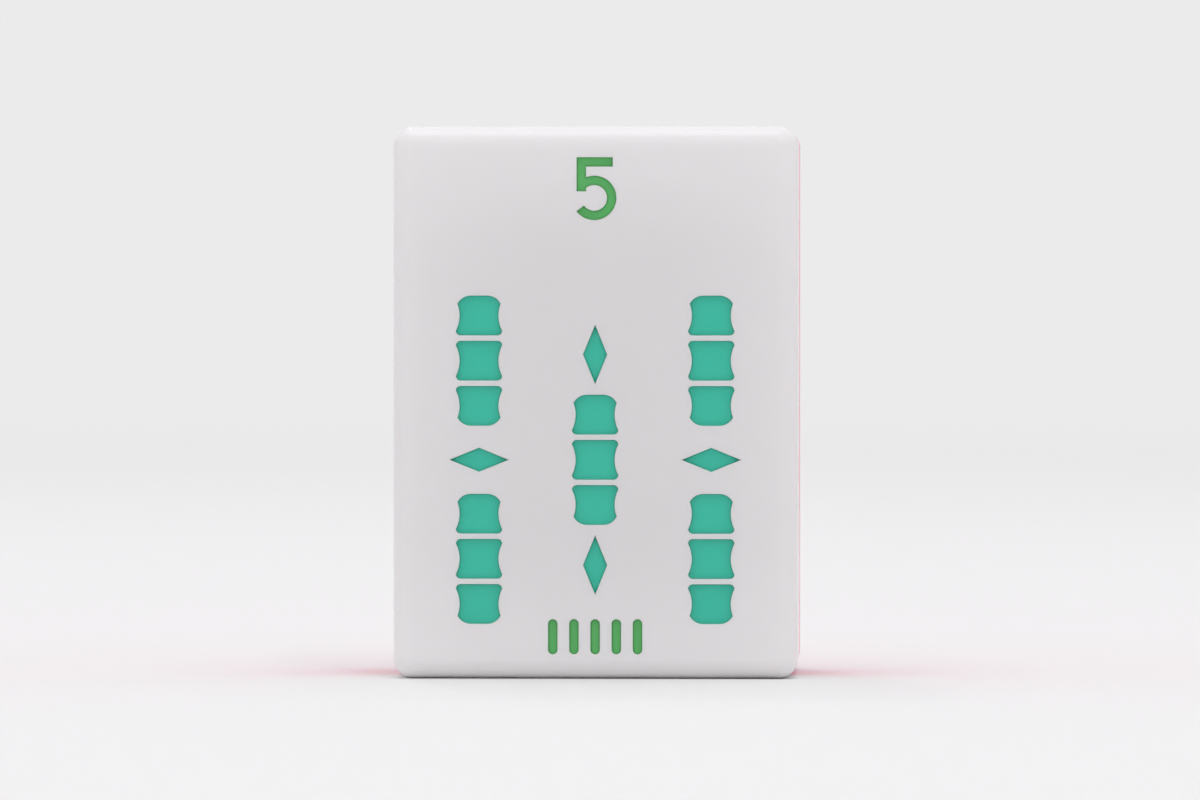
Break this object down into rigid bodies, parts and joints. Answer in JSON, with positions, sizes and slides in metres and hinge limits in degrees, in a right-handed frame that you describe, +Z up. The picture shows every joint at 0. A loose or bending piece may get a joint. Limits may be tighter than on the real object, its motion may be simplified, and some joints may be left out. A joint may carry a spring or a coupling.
{
  "type": "mahjong tile",
  "caption": "Laminated acrylic mahjong tile, a bamboo tile with an engraved and enamelled face, coloured layers, a printed sheet and a clear rounded back.",
  "frame": {"origin": "middle of the bottom of the tile's box, on the surface that it stands on", "axes": "+Z up the tile's height, -Y out of the engraved face, +Y out of the clear back, +X to the right as the face is seen"},
  "size_m": [0.022, 0.017, 0.03],
  "materials": {
    "white_acrylic": "polished white acrylic, slightly translucent",
    "crimson_acrylic": "polished crimson acrylic, translucent",
    "pink_acrylic": "polished pink acrylic, translucent",
    "printed_film": "printed film in pinks and coral, bonded behind the clear back",
    "clear_acrylic": "polished clear acrylic",
    "teal_enamel": "teal enamel paint, satin, in an engraved pocket",
    "green_enamel": "green enamel paint, satin, in an engraved pocket"
  },
  "bodies": {
    "root": {"face_layer": "white_acrylic", "crimson_layer": "crimson_acrylic", "pink_layer": "pink_acrylic", "printed_sheet": "printed_film", "clear_back": "clear_acrylic", "numeral_enamel": "green_enamel", "cane_enamel_1": "teal_enamel", "cane_enamel_2": "teal_enamel", "cane_enamel_3": "teal_enamel", "cane_enamel_4": "teal_enamel", "cane_enamel_5": "teal_enamel", "lozenge_enamel_1": "teal_enamel", "lozenge_enamel_2": "teal_enamel", "lozenge_enamel_3": "teal_enamel", "lozenge_enamel_4": "teal_enamel", "tally_enamel_1": "green_enamel", "tally_enamel_2": "green_enamel", "tally_enamel_3": "green_enamel", "tally_enamel_4": "green_enamel", "tally_enamel_5": "green_enamel"}
  },
  "joints": []
}
